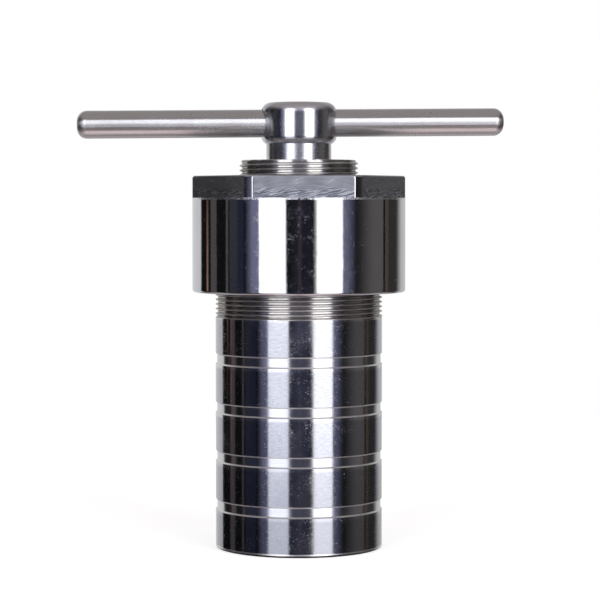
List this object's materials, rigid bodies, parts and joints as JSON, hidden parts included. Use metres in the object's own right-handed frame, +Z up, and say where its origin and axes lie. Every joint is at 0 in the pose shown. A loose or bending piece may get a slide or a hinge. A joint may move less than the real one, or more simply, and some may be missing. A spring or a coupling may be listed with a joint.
{
  "type": "hydrothermal reactor",
  "caption": "Turned steel pressure vessel with a sealed inner cup, a screw cap with a hexagon, and a press screw turned by a sliding T-bar.",
  "frame": {"origin": "centre of the push-out hole in the base face that the vessel stands on", "axes": "+Z up the turning axis; one flat of the cap's hexagon faces -Y; the T-bar lies near the X axis, its longer end towards -X"},
  "size_m": [0.1848, 0.092, 0.1922],
  "materials": {
    "polished_steel": "mirror polished",
    "turned_steel": "fine turned",
    "drawn_steel": "satin drawn bar",
    "spring_steel": "satin",
    "ptfe": "machined, slightly waxy"
  },
  "bodies": {
    "vessel": {"vessel_body": "polished_steel", "bottom_disc": "turned_steel", "liner_cup": "ptfe"},
    "lid": {"liner_lid": "ptfe"},
    "cap": {"screw_cap": "polished_steel"},
    "plate": {"press_plate": "turned_steel"},
    "screw": {"press_screw": "polished_steel", "retaining_ring": "spring_steel"},
    "bar": {"t_bar": "drawn_steel"}
  },
  "joints": [
    {"name": "lid_lift", "type": "slide", "parent": "vessel", "child": "lid", "axis": [0, 0, 1], "range_m": [0, 0.024]},
    {"name": "cap_turn", "type": "hinge", "parent": "lid", "child": "cap", "pos_m": [0, 0, 0.13], "axis": [0, 0, 1], "range_deg": [0, 4320]},
    {"name": "plate_lift", "type": "slide", "parent": "cap", "child": "plate", "axis": [0, 0, 1], "range_m": [0, 0.004]},
    {"name": "press_screw_turn", "type": "hinge", "parent": "plate", "child": "screw", "pos_m": [0, 0, 0.16], "axis": [0, 0, 1], "range_deg": [0, 720]},
    {"name": "bar_slide", "type": "slide", "parent": "screw", "child": "bar", "axis": [0.9975, 0.0698, 0.0105], "range_m": [-0.068, 0.075]}
  ],
  "couplings": [
    {"joint": "lid_lift", "follows": "cap_turn", "m_per_rad": 0.00031831},
    {"joint": "plate_lift", "follows": "press_screw_turn", "m_per_rad": 0.00031831}
  ]
}
